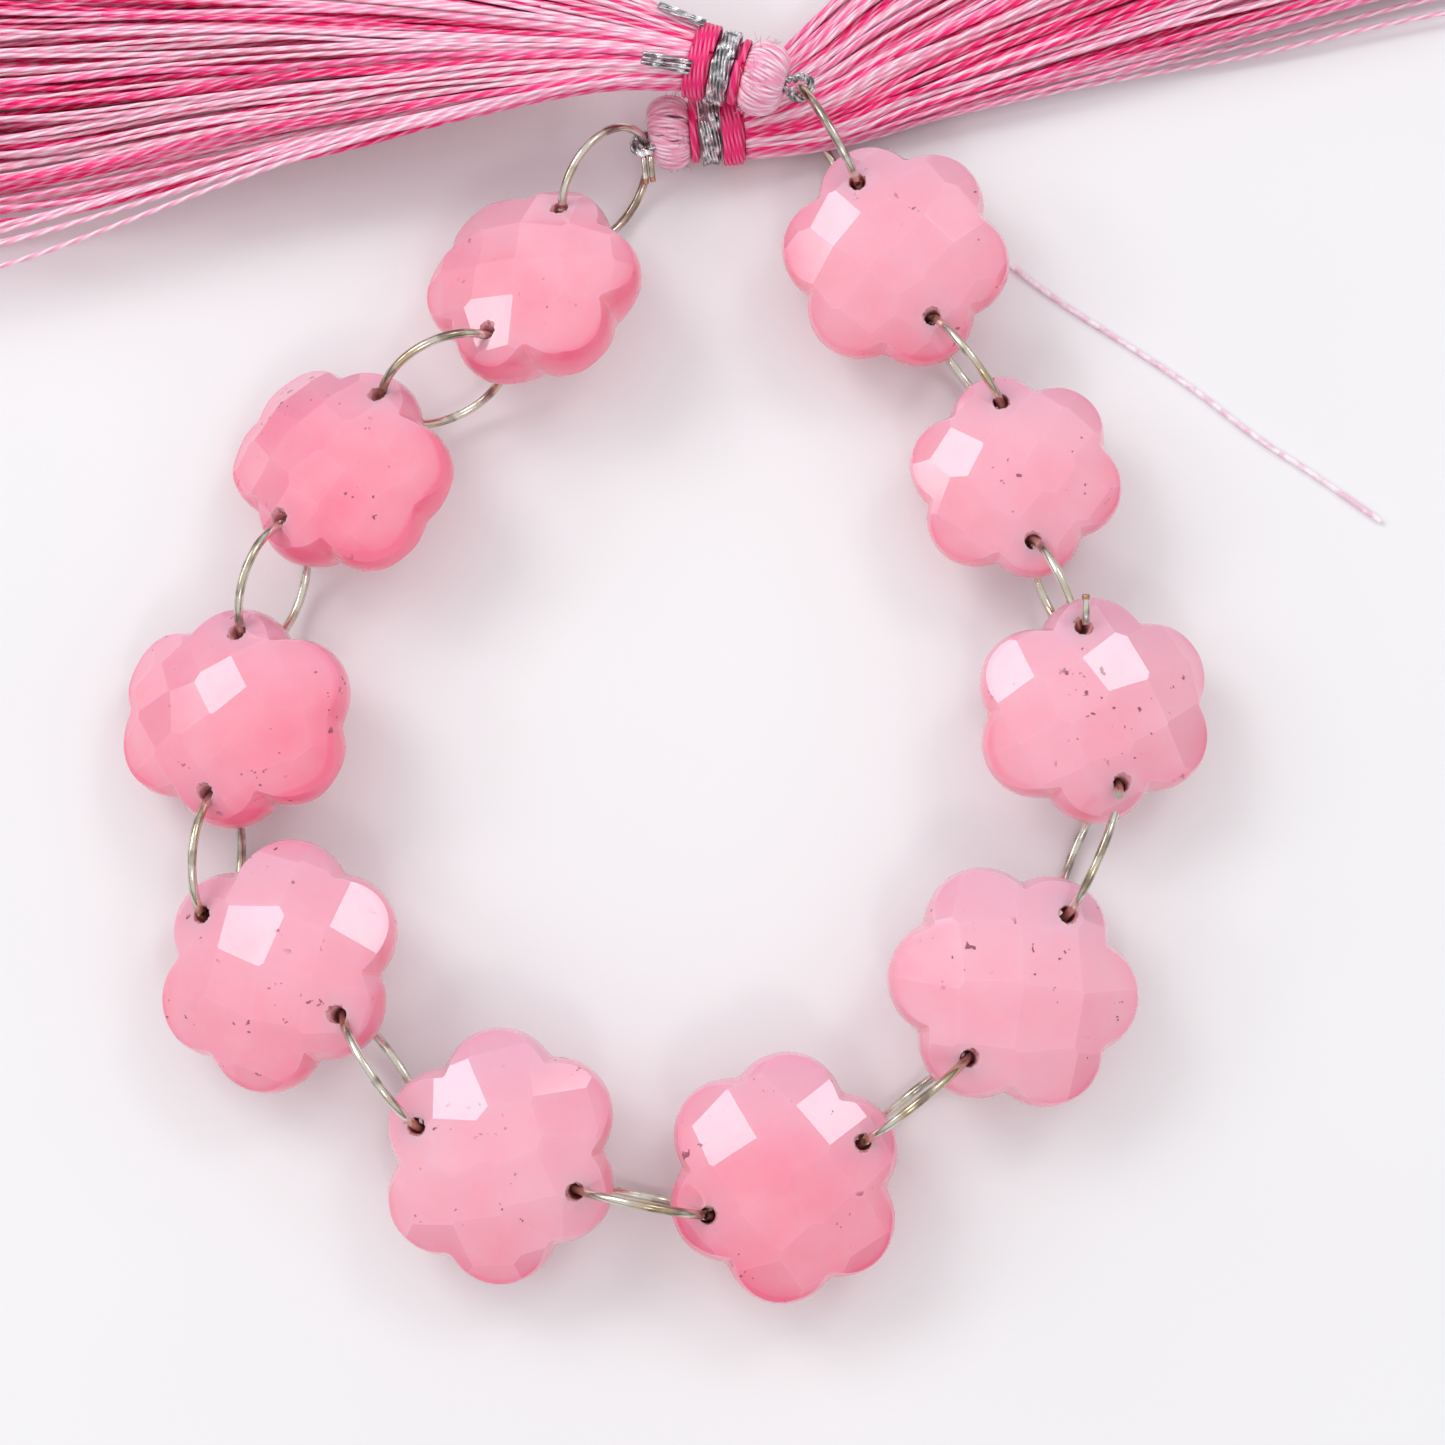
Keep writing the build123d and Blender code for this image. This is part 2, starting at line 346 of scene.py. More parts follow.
def stone_material():
    """Dyed translucent stone: deeper at the rim, with painted shade that deepens the front and turns the
    back a greyer lavender, and with specks and pits.
    """
    nodes = Nodes("pink_stone")
    place = nodes.position()
    own = nodes.vector_attribute("own")
    flat_x, flat_y, back = (own.outputs[i] for i in range(3))
    turn = nodes.maths("MULTIPLY", nodes.maths("ARCTAN2", flat_y, flat_x), PETALS)
    outline = nodes.maths("MULTIPLY_ADD", nodes.maths("COSINE", turn), 0.045, 0.945)
    flat_y_squared = nodes.maths("POWER", flat_y, 2)
    reach = nodes.maths("SQRT", nodes.maths("MULTIPLY_ADD", flat_x, flat_x, flat_y_squared))
    share = nodes.maths("DIVIDE", reach, outline)
    rim = nodes.ramp(share, (0.80, 0.0), (0.93, 0.35), (0.97, 1.0))
    cloud = nodes.noise(place, 190, 4)
    deepened = nodes.maths("MULTIPLY_ADD", cloud, 0.9, nodes.maths("MULTIPLY", rim, 0.42))
    deepened = nodes.maths("MULTIPLY_ADD", nodes.attribute("depth"), 0.68, deepened)
    # Painted shade: the pink deepens toward the front of the scene and pales toward the back, by each
    # point's place in the scene, not in the stone.
    deepened = nodes.maths("MULTIPLY_ADD", back, -0.17, deepened)
    deepened = nodes.maths("SUBTRACT", deepened, 0.38)
    base = nodes.ramp(
        deepened,
        (0.0, (0.96, 0.50, 0.60)),
        (0.40, (0.97, 0.40, 0.50)),
        (0.75, (0.98, 0.29, 0.40)),
        (1.0, (0.97, 0.18, 0.30)),
    )
    # Painted shade: toward the back of the scene each bead is mixed to a darker, greyer lavender.
    painted_back_shade = nodes.maths("MULTIPLY", nodes.ramp(back, (0.0, 0.0), (0.85, 1.0)), 0.60)
    base = nodes.mix(painted_back_shade, base, (0.74, 0.43, 0.58))
    speck = nodes.ramp(nodes.noise(place, 1400, 2, 0.6), (0.31, 1.0), (0.33, 0.0))
    where = nodes.ramp(nodes.noise(place, 210, 2), (0.52, 0.0), (0.60, 1.0))
    speck = nodes.maths("MULTIPLY", speck, where)
    base = nodes.mix(nodes.maths("MULTIPLY", speck, 0.85), base, (0.24, 0.04, 0.09))
    nodes.link(base, "Base Color")
    wear = nodes.noise(place, 700, 3, 0.6)
    nodes.link(nodes.ramp(wear, (0.35, 0.08), (0.75, 0.19)), "Roughness")
    nodes.set(Subsurface_Weight=0.85, Subsurface_Radius=(1.0, 0.42, 0.48), Subsurface_Scale=0.0028)
    nodes.set(IOR=1.54, Coat_Weight=0.55, Coat_Roughness=0.06)
    pits = nodes.maths("SUBTRACT", nodes.maths("MULTIPLY", wear, 0.15), speck)
    nodes.bump(pits, 0.35, 0.00006)
    return nodes.material


def drilled_material():
    """The rough wall of a drilled hole, with brown grit left in it."""
    nodes = Nodes("drilled_stone")
    place = nodes.position()
    grit = nodes.noise(place, 1800, 3, 0.65)
    nodes.link(nodes.ramp(grit, (0.35, (0.50, 0.17, 0.17)), (0.50, (0.92, 0.46, 0.52))), "Base Color")
    nodes.set(Subsurface_Weight=0.3, Subsurface_Radius=(1.0, 0.4, 0.4), Subsurface_Scale=0.001)
    nodes.set(Roughness=0.75)
    nodes.bump(grit, 0.6, 0.00012)
    return nodes.material


def wire_material():
    """Silver-plated wire, brassy where the plating is thin, with drawing lines and small nicks, and dark
    brown patches painted in as dark reflections.
    """
    nodes = Nodes("ring_wire")
    place = nodes.position()
    worn = nodes.ramp(nodes.noise(place, 260, 3), (0.46, 0.0), (0.66, 1.0))
    base = nodes.mix(worn, (0.74, 0.70, 0.62), (0.56, 0.45, 0.29))
    # Painted reflection: dark brown patches mixed into the colour stand in for dark reflections.
    painted_dark_reflection = nodes.ramp(nodes.noise(place, 620, 2), (0.36, 1.0), (0.50, 0.0))
    nodes.link(nodes.mix(nodes.maths("MULTIPLY", painted_dark_reflection, 0.7), base, (0.17, 0.13, 0.10)), "Base Color")
    lines = nodes.noise(place, 2600, 3, 0.7)
    nodes.link(nodes.ramp(lines, (0.3, 0.12), (0.7, 0.28)), "Roughness")
    nodes.set(Metallic=1.0)
    nodes.bump(lines, 0.25, 0.00003)
    return nodes.material


def cut_wire_material():
    """The bare coppery brass at a cut end of the wire."""
    nodes = Nodes("cut_wire")
    grain = nodes.noise(nodes.position(), 3000, 2)
    nodes.link(nodes.ramp(grain, (0.3, (0.42, 0.20, 0.12)), (0.7, (0.62, 0.36, 0.22))), "Base Color")
    nodes.set(Metallic=1.0, Roughness=0.38)
    nodes.bump(grain, 0.4, 0.00004)
    return nodes.material


def silk_material(name, pale, middle, deep, painted_ply_light, sheen):
    """Twisted silk: the tint attribute chooses each thread's pink, and the plies run round along it,
    with painted shade in their grooves and painted highlights on their crests.
    """
    nodes = Nodes(name)
    ply = nodes.ply()
    fleck = nodes.noise(nodes.position(), 900, 3, 0.6)
    own_tint = nodes.maths("SUBTRACT", nodes.attribute("tint"), 0.15)
    tint = nodes.maths("MULTIPLY_ADD", fleck, 0.30, own_tint)
    base = nodes.ramp(tint, (0.0, pale), (0.30, pale), (0.58, middle), (0.92, deep))
    # Painted shade: the ply grooves are darkened toward the deep pink.
    shade = nodes.maths("MULTIPLY", nodes.maths("SUBTRACT", 1.0, ply), painted_ply_light)
    base = nodes.mix(shade, base, nodes.mix(1.0, base, deep, "MULTIPLY"))
    # Painted highlight: the ply crests are lightened toward near-white.
    shine = nodes.maths("MULTIPLY", nodes.ramp(ply, (0.55, 0.0), (0.85, 1.0)), painted_ply_light)
    base = nodes.mix(shine, base, nodes.mix(0.55, base, (1.0, 0.97, 1.0)))
    nodes.link(base, "Base Color")
    nodes.link(nodes.ramp(fleck, (0.3, 0.34), (0.7, 0.55)), "Roughness")
    nodes.set(Sheen_Weight=sheen, Sheen_Roughness=0.4, Specular_IOR_Level=0.45)
    nodes.bump(ply, 0.6, 0.00008)
    return nodes.material


def silver_material():
    """Flat metallic film wound round a thread, creased, with glints and dark reflections painted into
    its colour in patches.
    """
    nodes = Nodes("silver_thread")
    ply = nodes.ply()
    glint = nodes.noise(nodes.position(), 1500, 2, 0.5)
    # Painted reflection: the base colour runs by noise from near-black to near-white, for dark
    # reflections and glints.
    base = nodes.ramp(
        glint,
        (0.38, (0.16, 0.155, 0.16)),
        (0.50, (0.60, 0.60, 0.62)),
        (0.62, (0.93, 0.93, 0.95)),
    )
    # Painted highlight: the ply crests are lightened toward white.
    nodes.link(nodes.mix(nodes.maths("MULTIPLY", ply, 0.3), base, (0.9, 0.9, 0.92)), "Base Color")
    nodes.link(nodes.ramp(glint, (0.4, 0.42), (0.6, 0.18)), "Roughness")
    nodes.set(Metallic=0.9)
    height = nodes.maths("MULTIPLY_ADD", glint, 0.6, ply)
    nodes.bump(height, 0.9, 0.00014)
    return nodes.material


def loose_silk_material():
    """The loose thread's silk: pale pink, with its twist drawn as bumps along its own length, and
    near-white glints painted into its colour.
    """
    nodes = Nodes("loose_silk")
    glint = nodes.noise(nodes.position(), 1300, 2, 0.5)
    # Painted highlight: near-white glints in the base colour.
    nodes.link(nodes.ramp(glint, (0.40, (0.88, 0.58, 0.72)), (0.60, (1.0, 0.90, 0.96))), "Base Color")
    nodes.set(Roughness=0.5, Sheen_Weight=0.3)
    nodes.bump(glint, 0.8, 0.0001)
    return nodes.material


def floor_material():
    nodes = Nodes("floor")
    mottle = nodes.noise(nodes.position(), 30, 2)
    nodes.link(nodes.ramp(mottle, (0.3, (0.86, 0.86, 0.875)), (0.7, (0.88, 0.88, 0.89))), "Base Color")
    nodes.set(Roughness=0.9, Specular_IOR_Level=0.1)
    return nodes.material


PALE_PINK = (1.0, 0.70, 0.84)
MID_PINK = (1.0, 0.28, 0.56)
HOT_PINK = (0.94, 0.003, 0.24)
STONE = stone_material()
DRILLED = drilled_material()
WIRE = wire_material()
CUT_WIRE = cut_wire_material()
SILK = silk_material("pale_silk", PALE_PINK, MID_PINK, HOT_PINK, 0.45, 0.15)
HOT_SILK = silk_material(
    "hot_pink_silk", (0.93, 0.012, 0.22), (0.88, 0.004, 0.17), (0.74, 0.0, 0.11), 0.25, 0.03
)
SILVER = silver_material()
LOOSE_SILK = loose_silk_material()


# Beads.
class BeadPlace:
    """A bead's place, read from its two holes and its CAD solid: its axes, its middle and its widths."""

    def __init__(self, number):
        name = f"bead_{number:02d}"
        first = joint_place(name, f"ring_{number:02d}")
        second = joint_place(name, f"ring_{number + 1:02d}")
        self.middle = (first + second) / 2
        self.along = (second - first).normalized()
        points = node_points(name) - np.array(self.middle)
        side = without(Vector((0, 0, 1)).cross(self.along), self.along)
        up = self.along.cross(side)
        spans = []
        for angle in np.radians(np.arange(0, 180, 0.5)):
            way = side * cos(angle) + up * sin(angle)
            reach = points @ np.array(way)
            spans.append((reach.max() - reach.min(), way))
        self.thickness, normal = min(spans, key=lambda span: span[0])
        self.normal = normal if normal.z > 0 else -normal
        self.across = self.normal.cross(self.along)
        self.widths = []
        for way in (self.along, self.across):
            reach = points @ np.array(way)
            self.widths.append((reach.max() - reach.min()) / MM)
        self.hole_out = (second - first).length / 2 / MM
        self.scale = sum(self.widths) / 2 / REFERENCE_WIDTH

    def matrix(self):
        """From the bead's own millimetres to the row frame."""
        columns = [way * MM for way in (self.along, self.across, self.normal)]
        return Matrix.Translation(self.middle) @ Matrix(columns).transposed().to_4x4()


def outline_radius(place, turned, angle):
    """How far the outline is from the middle at an angle, as round petals with soft valleys."""
    petal = PETAL_SHARE * sum(place.widths) / 4
    reaches = []
    for number in range(PETALS):
        turn = radians(turned + number * 360 / PETALS)
        x = (place.widths[0] / 2 - petal) * cos(turn)
        y = (place.widths[1] / 2 - petal) * sin(turn)
        beside = x * sin(angle) - y * cos(angle)
        if abs(beside) < petal:
            reaches.append(x * cos(angle) + y * sin(angle) + sqrt(petal**2 - beside**2))
    top = max(reaches)
    merged = sum(np.exp((reach - top) / VALLEY_SOFTNESS) for reach in reaches)
    return top + VALLEY_SOFTNESS * np.log(merged) - 0.05


def bead_blank(place, turned):
    """The bead before its faces are cut: petals with a gently crowned wall."""
    levels = []
    for angle in (0, 6.5, 13, 19.3):
        levels.append((WALL_RADIUS * sin(radians(angle)), WALL_RADIUS * (1 - cos(radians(angle)))))
    top = BLANK_HALF_HEIGHT * place.scale
    levels.append((top, levels[-1][1] + (top - levels[-1][0]) * WALL_SLOPE))
    levels = [(-height, inset) for height, inset in levels[:0:-1]] + levels
    body = bmesh.new()
    rings = []
    angles = [number * tau / OUTLINE_POINTS for number in range(OUTLINE_POINTS)]
    radii = [outline_radius(place, turned, angle) for angle in angles]
    for height, inset in levels:
        ring = []
        for angle, radius in zip(angles, radii):
            reach = radius - inset
            ring.append(body.verts.new((reach * cos(angle), reach * sin(angle), height)))
        rings.append(ring)
    join_rings(body, rings)
    return body


def facet_planes(place, facet_turn, facet, side, chance):
    """The planes that a dome's flat square facets lie in, on a grid turned on the face."""
    radius = DOME_RADIUS * place.scale
    height = place.thickness / MM / 2
    spacing = facet * place.scale
    for i in range(-FACETS_EACH_WAY, FACETS_EACH_WAY):
        for j in range(-FACETS_EACH_WAY, FACETS_EACH_WAY):
            grid = Vector(((i + 0.5) * spacing, (j + 0.5) * spacing, 0))
            shift = [chance.uniform(-FACET_SHIFT, FACET_SHIFT) for _ in range(2)]
            grid += Vector((*shift, 0))
            grid.rotate(Matrix.Rotation(radians(facet_turn), 3, "Z"))
            if grid.length < FACET_REACH * place.scale:
                rise = sqrt(radius**2 - grid.length_squared)
                point = Vector((grid.x, grid.y, side * (height - radius + rise - 0.04)))
                lean = [chance.uniform(-FACET_LEAN, FACET_LEAN) for _ in range(2)]
                normal = Vector((grid.x + lean[0], grid.y + lean[1], side * rise))
                yield point, normal.normalized()


def cut_facets(body, planes):
    for point, normal in planes:
        everything = body.verts[:] + body.edges[:] + body.faces[:]
        cut = bmesh.ops.bisect_plane(
            body, geom=everything, dist=1e-5, plane_co=point, plane_no=normal, clear_outer=True
        )
        edges = [item for item in cut["geom_cut"] if isinstance(item, bmesh.types.BMEdge)]
        if edges:
            bmesh.ops.holes_fill(body, edges=edges, sides=0)


def drill(place, side, chance):
    """A hole's shape: narrow through the middle and chipped wider at each face."""
    tool = bmesh.new()
    fall = DOME_RADIUS - sqrt(DOME_RADIUS**2 - place.hole_out**2)
    face = place.thickness / MM / 2 - fall * place.scale
    heights = (-5, -face - 0.35, -face, -face + 0.45, -0.8, 0.8, face - 0.45, face, face + 0.35, 5)
    rings = []
    for height in heights:
        wide = abs(height) > face - 0.3
        ring = []
        for i in range(HOLE_SIDES):
            radius = MOUTH_RADIUS + chance.uniform(-0.06, 0.09) if wide else HOLE_RADIUS
            x = side * place.hole_out + radius * cos(i * tau / HOLE_SIDES)
            ring.append(tool.verts.new((x, radius * sin(i * tau / HOLE_SIDES), height)))
        rings.append(ring)
    join_rings(tool, rings)
    for item in tool.faces:
        item.material_index = 1
        item.smooth = True
    return scene_object(f"drill_{side}", mesh_from(tool, f"drill_{side}", STONE, DRILLED))


def finished_mesh(piece):
    """The piece's mesh with its modifiers applied."""
    graph = bpy.context.evaluated_depsgraph_get()
    return bpy.data.meshes.new_from_object(piece.evaluated_get(graph), depsgraph=graph).copy()


def paint_bead(mesh, place, turned, depth):
    """Each point's place on the bead's face, how far back it is in the scene (read by the stone's
    painted front and back shade), and how deep the bead's pink is.
    """
    own = []
    for vertex in mesh.vertices:
        x, y, _ = vertex.co
        flat = Vector((x / place.widths[0], y / place.widths[1], 0)) * 2
        flat.rotate(Matrix.Rotation(radians(-turned), 3, "Z"))
        # How far toward the back of the scene the point lies, for the painted shade.
        back = (place.along * x + place.across * y).y / (0.5 * REFERENCE_WIDTH)
        own += [flat.x, flat.y, back]
    mesh.attributes.new("own", "FLOAT_VECTOR", "POINT").data.foreach_set("vector", own)
    depths = [depth] * len(mesh.vertices)
    mesh.attributes.new("depth", "FLOAT", "POINT").data.foreach_set("value", depths)


def make_bead(number, turned, facet_turn, facet, depth):
    name = f"bead_{number:02d}"
    chance = np.random.default_rng(100 + number)
    place = BeadPlace(number)
    body = bead_blank(place, turned)
    for side in (1, -1):
        cut_facets(body, facet_planes(place, facet_turn, facet, side, chance))
    bmesh.ops.remove_doubles(body, verts=body.verts, dist=0.01)
    bmesh.ops.recalc_face_normals(body, faces=body.faces)
    for face in body.faces:
        face.smooth = True
    rough = scene_object(f"blank_{name}", mesh_from(body, f"blank_{name}", STONE, DRILLED))
    cutters = [drill(place, side, chance) for side in (-1, 1)]
    for cutter in cutters:
        hole = rough.modifiers.new("hole", "BOOLEAN")
        hole.object = cutter
        hole.solver = "EXACT"
    soften = rough.modifiers.new("soften", "BEVEL")
    soften.width = EDGE_SOFTNESS
    soften.segments = 2
    soften.angle_limit = radians(9)
    flatten = rough.modifiers.new("flatten", "WEIGHTED_NORMAL")
    flatten.mode = "FACE_AREA"
    flatten.weight = 80
    flatten.keep_sharp = False
    done = finished_mesh(rough)
    for leftover in [rough] + cutters:
        bpy.data.objects.remove(leftover)
    paint_bead(done, place, turned, depth)
    done.transform(place.matrix())
    done.name = f"stone_{name}"
    return new_object(f"stone_{name}", done, name, "pink_stone", name)


# Threads.
def thread_mesh(name, paths, radii, tints, material, sides=THREAD_SIDES):
    """One mesh of round threads along paths, in metres, each with its own radius and tint."""
    verts, faces, uvs, shades = [], [], [], []
    offset = 0
    turns = np.arange(sides) * tau / sides
    for path, radius, tint in zip(paths, radii, tints):
        path = np.asarray(path)
        count = len(path)
        ahead = directions(path)
        side = np.empty_like(ahead)
        side[0] = np.cross(ahead[0], (0.3, 0.1, 1.0))
        for i in range(count):
            last = side[max(i - 1, 0)]
            side[i] = last - ahead[i] * last.dot(ahead[i])
            side[i] /= np.linalg.norm(side[i])
        up = np.cross(ahead, side)
        around = side[:, None] * np.cos(turns)[:, None] + up[:, None] * np.sin(turns)[:, None]
        verts.append((path[:, None] + around * radius).reshape(-1, 3))
        lengths = distances(path) / MM / PLY_PITCH + PLIES_OUT_OF_STEP * tint
        i, j = np.meshgrid(np.arange(count - 1), np.arange(sides), indexing="ij")
        k = (j + 1) % sides
        near, far = i * sides, (i + 1) * sides
        quads = np.stack([near + j, near + k, far + k, far + j], axis=-1)
        faces.append(quads.reshape(-1, 4) + offset)
        u = np.stack([j, j + 1, j + 1, j], axis=-1) / sides
        v = np.stack([lengths[i], lengths[i], lengths[i + 1], lengths[i + 1]], axis=-1)
        uvs.append(np.stack([u, v], axis=-1).reshape(-1, 2))
        shades.append(np.full(count * sides, tint))
        offset += count * sides
    caps, cap_uvs = [], []
    start = 0
    for path in paths:
        last = start + (len(path) - 1) * sides
        caps.append(tuple(range(start + sides - 1, start - 1, -1)))
        caps.append(tuple(range(last, last + sides)))
        cap_uvs.append(np.zeros((2 * sides, 2)))
        start += len(path) * sides
    mesh = bpy.data.meshes.new(name)
    mesh.from_pydata(np.concatenate(verts).tolist(), [], np.concatenate(faces).tolist() + caps)
    layer = mesh.uv_layers.new(name="thread")
    layer.data.foreach_set("uv", np.concatenate(uvs + cap_uvs).ravel())
    mesh.attributes.new("tint", "FLOAT", "POINT").data.foreach_set("value", np.concatenate(shades))
    mesh.polygons.foreach_set("use_smooth", [True] * len(mesh.polygons))
    mesh.materials.append(material)
    return mesh


def smooth_rows(rows, count):
    """Values between the rows of a table, on a smooth curve through them."""
    table = np.asarray(rows, float)
    table = np.vstack([2 * table[0] - table[1], table, 2 * table[-1] - table[-2]])
    places = np.linspace(0, len(rows) - 1 - 1e-9, count)
    i = places.astype(int)
    t = (places - i)[:, None]
    a, b, c, d = table[i], table[i + 1], table[i + 2], table[i + 3]
    bend = (2 * a - 5 * b + 4 * c - d) * t**2
    return 0.5 * (2 * b + (c - a) * t + bend + (3 * b - a - 3 * c + d) * t**3)


def spread_rows(spread):
    """A skirt's rows: centre in x, y and z, heading, half width and half height."""
    return smooth_rows([(*centre, *rest) for centre, *rest in spread], SKIRT_ROWS)


def thread_path(rows, across, above, end, chance, wander=1.0):
    """One thread of a skirt: where it is across and above the middle, and how far down it ends."""
    count = int(len(rows) * end)
    rows = rows[:count]
    travel = np.linspace(0, end, count)
    phase = chance.uniform(0, tau, 4)
    speed = chance.uniform(0.6, 1.6, 2)
    drift = wander * travel * (0.55 * np.sin(tau * speed[0] * travel + phase[0]) - 0.55 * sin(phase[0]))
    drift += wander * travel * 0.22 * np.sin(tau * 3.1 * speed[1] * travel + phase[1])
    lift = 0.22 * travel * np.sin(tau * 2.2 * speed[1] * travel + phase[2])
    centres = rows[:, :3].copy()
    centres[:, :2] += sideways(rows) * (across * rows[:, 4] + drift)[:, None]
    centres[:, 2] += above * rows[:, 5] + lift
    centres -= np.array(LOOP_ORIGIN)
    centres[:, 2] = np.maximum(centres[:, 2], THREAD_RADIUS + 0.03)
    return centres * MM


def skirt_threads(spread, seed):
    """A skirt's threads: paths, radii and tints. Hot pink ones run in clumps, under the pale ones."""
    chance = np.random.default_rng(seed)
    rows = spread_rows(spread)
    paths, radii, tints = [], [], []
    for i in range(SKIRT_THREADS):
        out = sqrt((i + 0.5) / SKIRT_THREADS)
        turn = i * pi * (3 - sqrt(5))
        across, above = out * cos(turn), out * sin(turn)
        end = chance.uniform(0.90, 1.0)
        paths.append(thread_path(rows, across, above, end, chance))
        radii.append(THREAD_RADIUS * chance.uniform(0.85, 1.12) * MM)
        clump = sin(across * 17.0 + 2.0 * above + seed) + 0.7 * sin(across * 41.0 + seed * 2.3)
        hot = 0.55 * clump + chance.normal(0, 0.5) - 0.25 * above
        if out < HOT_CORE:
            hot += 0.9
        if hot > 0.45:
            tints.append(chance.uniform(0.85, 1.0))
        elif hot > 0.0:
            tints.append(chance.uniform(0.45, 0.68))
        else:
            tints.append(chance.uniform(0.0, 0.34))
    return paths, radii, tints


def skirt_strays(spread, offsets, seed):
    """Threads that leave the skirt's edge slowly, to a place across and above by their tips."""
    chance = np.random.default_rng(seed)
    rows = spread_rows(spread)
    growth = np.linspace(0, 1, len(rows)) ** 1.2
    paths, radii, tints = [], [], []
    for across, above, end in offsets:
        path = thread_path(rows, 0.0, above, end, chance, wander=0.5)
        count = len(path)
        start = np.sign(across) * 0.85
        reach = (start + (across - start) * growth[:count]) * rows[:count, 4]
        path[:, :2] += sideways(rows[:count]) * reach[:, None] * MM
        paths.append(path)
        radii.append(THREAD_RADIUS * MM)
        tints.append(chance.uniform(0.0, 0.25))
    return paths, radii, tints


class TasselPlace:
    """A tassel's axis and sizes, read from its CAD nodes."""

    def __init__(self, name):
        self.name = name
        self.start = box_middle(f"narrow_wrap_{name}")
        self.axis = (box_middle(f"wide_wrap_{name}") - self.start).normalized()
        self.side = without(Vector((0, 0, 1)), self.axis)
        self.up = self.axis.cross(self.side)

    def span(self, node):
        """Where a node starts and ends along the axis, and its radius."""
        points = node_points(f"{node}_{self.name}") - np.array(self.start)
        along = points @ np.array(self.axis)
        beside = points - along[:, None] * np.array(self.axis)
        return along.min(), along.max(), np.linalg.norm(beside, axis=1).max()

    def point(self, along, radius, turn):
        out = self.side * cos(turn) + self.up * sin(turn)
        return self.start + self.axis * along + out * radius


def coil_paths(place, node, thread_radius, chance):
    """Turns of thread wound side by side, each nearly a ring, with a second layer of crossing turns."""
    low, high, radius = place.span(node)
    turns = max(2, round((high - low) / (2 * thread_radius)))
    paths = []
    for layer in range(2):
        layer_radius = radius - thread_radius * (1 + 1.5 * layer)
        path = []
        for i in range(turns * COIL_STEPS + 1):
            share = i / (turns * COIL_STEPS)
            along = low + thread_radius + (high - low - 2 * thread_radius) * share
            wobble = 0.12 * thread_radius * sin(i * 0.37 + layer) * chance.uniform(0.6, 1.4)
            turn = (1 - 2 * layer) * i * tau / COIL_STEPS
            path.append(tuple(place.point(along + wobble, layer_radius, turn)))
        paths.append(path)
    return paths


def make_wrap(place, node, material, slot, thread_radius, seed):
    chance = np.random.default_rng(seed)
    name = f"{node}_{place.name}"
    paths = coil_paths(place, node, thread_radius, chance)
    radii = [thread_radius * 1.04] * 2
    mesh = thread_mesh(f"threads_{name}", paths, radii, [0.25, 0.8], material, COIL_SIDES)
    return new_object(f"threads_{name}", mesh, f"tassel_{place.name}", slot, name)


def make_head(place, seed):
    """Threads folded over the eye's cord: each runs on a slant over the bulb, and fuzz stands off it."""
    name = place.name
    chance = np.random.default_rng(seed)
    low, high, radius = place.span("head")
    paths, radii, tints = [], [], []
    for layer, number in ((0, 46), (1, 40)):
        for i in range(number):
            start = i * tau / number + chance.uniform(-0.04, 0.04)
            slant = chance.uniform(0.35, 0.75) * (1 - 2 * layer * 0.4)
            path = []
            for share in np.linspace(0, 1, 22):
                bulge = sin(pi * (0.10 + 0.74 * share)) ** 0.62
                out = radius * (0.99 - 0.10 * layer) * bulge - THREAD_RADIUS * MM
                along = low + (high - low) * (0.02 + 0.98 * (1 - cos(pi * share)) / 2)
                path.append(tuple(place.point(along, max(out, 0.0003), start + slant * share)))
            paths.append(path)
            radii.append(THREAD_RADIUS * 1.02 * MM)
            tints.append(chance.uniform(0.05, 0.38))
    for _ in range(60):
        turn, along = chance.uniform(0, tau), chance.uniform(low * 0.6 + high * 0.4, high)
        foot = place.point(along, radius * 0.93, turn)
        tip_along = along + chance.uniform(-4e-4, 4e-4)
        tip = place.point(tip_along, radius * chance.uniform(1.02, 1.12), turn + 0.15)
        tip.z = max(tip.z, 0.0001)
        paths.append([tuple(foot), tuple((foot + tip) / 2 + Vector((0, 0, 3e-5))), tuple(tip)])
        radii.append(0.02 * MM)
        tints.append(0.05)
    mesh = thread_mesh(f"threads_head_{name}", paths, radii, tints, SILK)
    nodes = (f"head_{name}", f"core_{name}")
    return new_object(f"threads_head_{name}", mesh, f"tassel_{name}", "pale_silk", *nodes)


def twisted_pair(path):
    """The paths of the eye's two strands, twisted round its middle."""
    ahead = directions(path)
    side = np.cross(ahead, (0.2, 0.3, 1.0))
    side /= np.linalg.norm(side, axis=1, keepdims=True)
    up = np.cross(ahead, side)
    turn = distances(path) / EYE_TWIST * tau
    strands = []
    for start in (0, pi):
        offset = side * np.cos(turn + start)[:, None] + up * np.sin(turn + start)[:, None]
        strands.append(path + offset * EYE_APART)
    return strands


